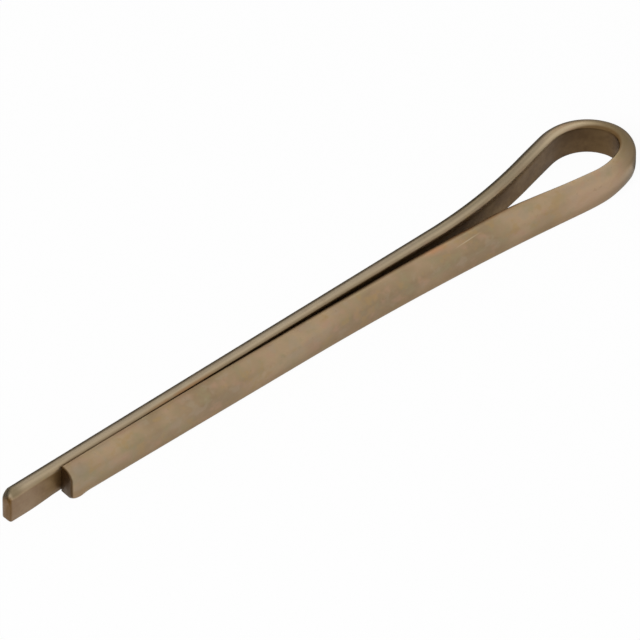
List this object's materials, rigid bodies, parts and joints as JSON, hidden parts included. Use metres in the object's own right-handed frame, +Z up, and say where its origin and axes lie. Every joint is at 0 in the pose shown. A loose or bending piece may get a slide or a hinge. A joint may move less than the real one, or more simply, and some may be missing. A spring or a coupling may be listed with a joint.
{
  "type": "cotter pin",
  "caption": "Cotter pin of flat-sided wire folded flat to flat, with a teardrop eye and one prong longer than the other, cut square.",
  "frame": {"origin": "middle of the footprint, on the surface that the pin lies on", "axes": "+X along the shank towards the eye, +Y from the short prong towards the long prong, +Z up along the fold axis, which is also the way through the eye"},
  "size_m": [0.0566, 0.0068, 0.0027],
  "materials": {
    "wire": "satin, dull bronze colour with faint pink, green and gold clouding"
  },
  "bodies": {
    "root": {"cotter_pin": "wire"}
  },
  "joints": []
}
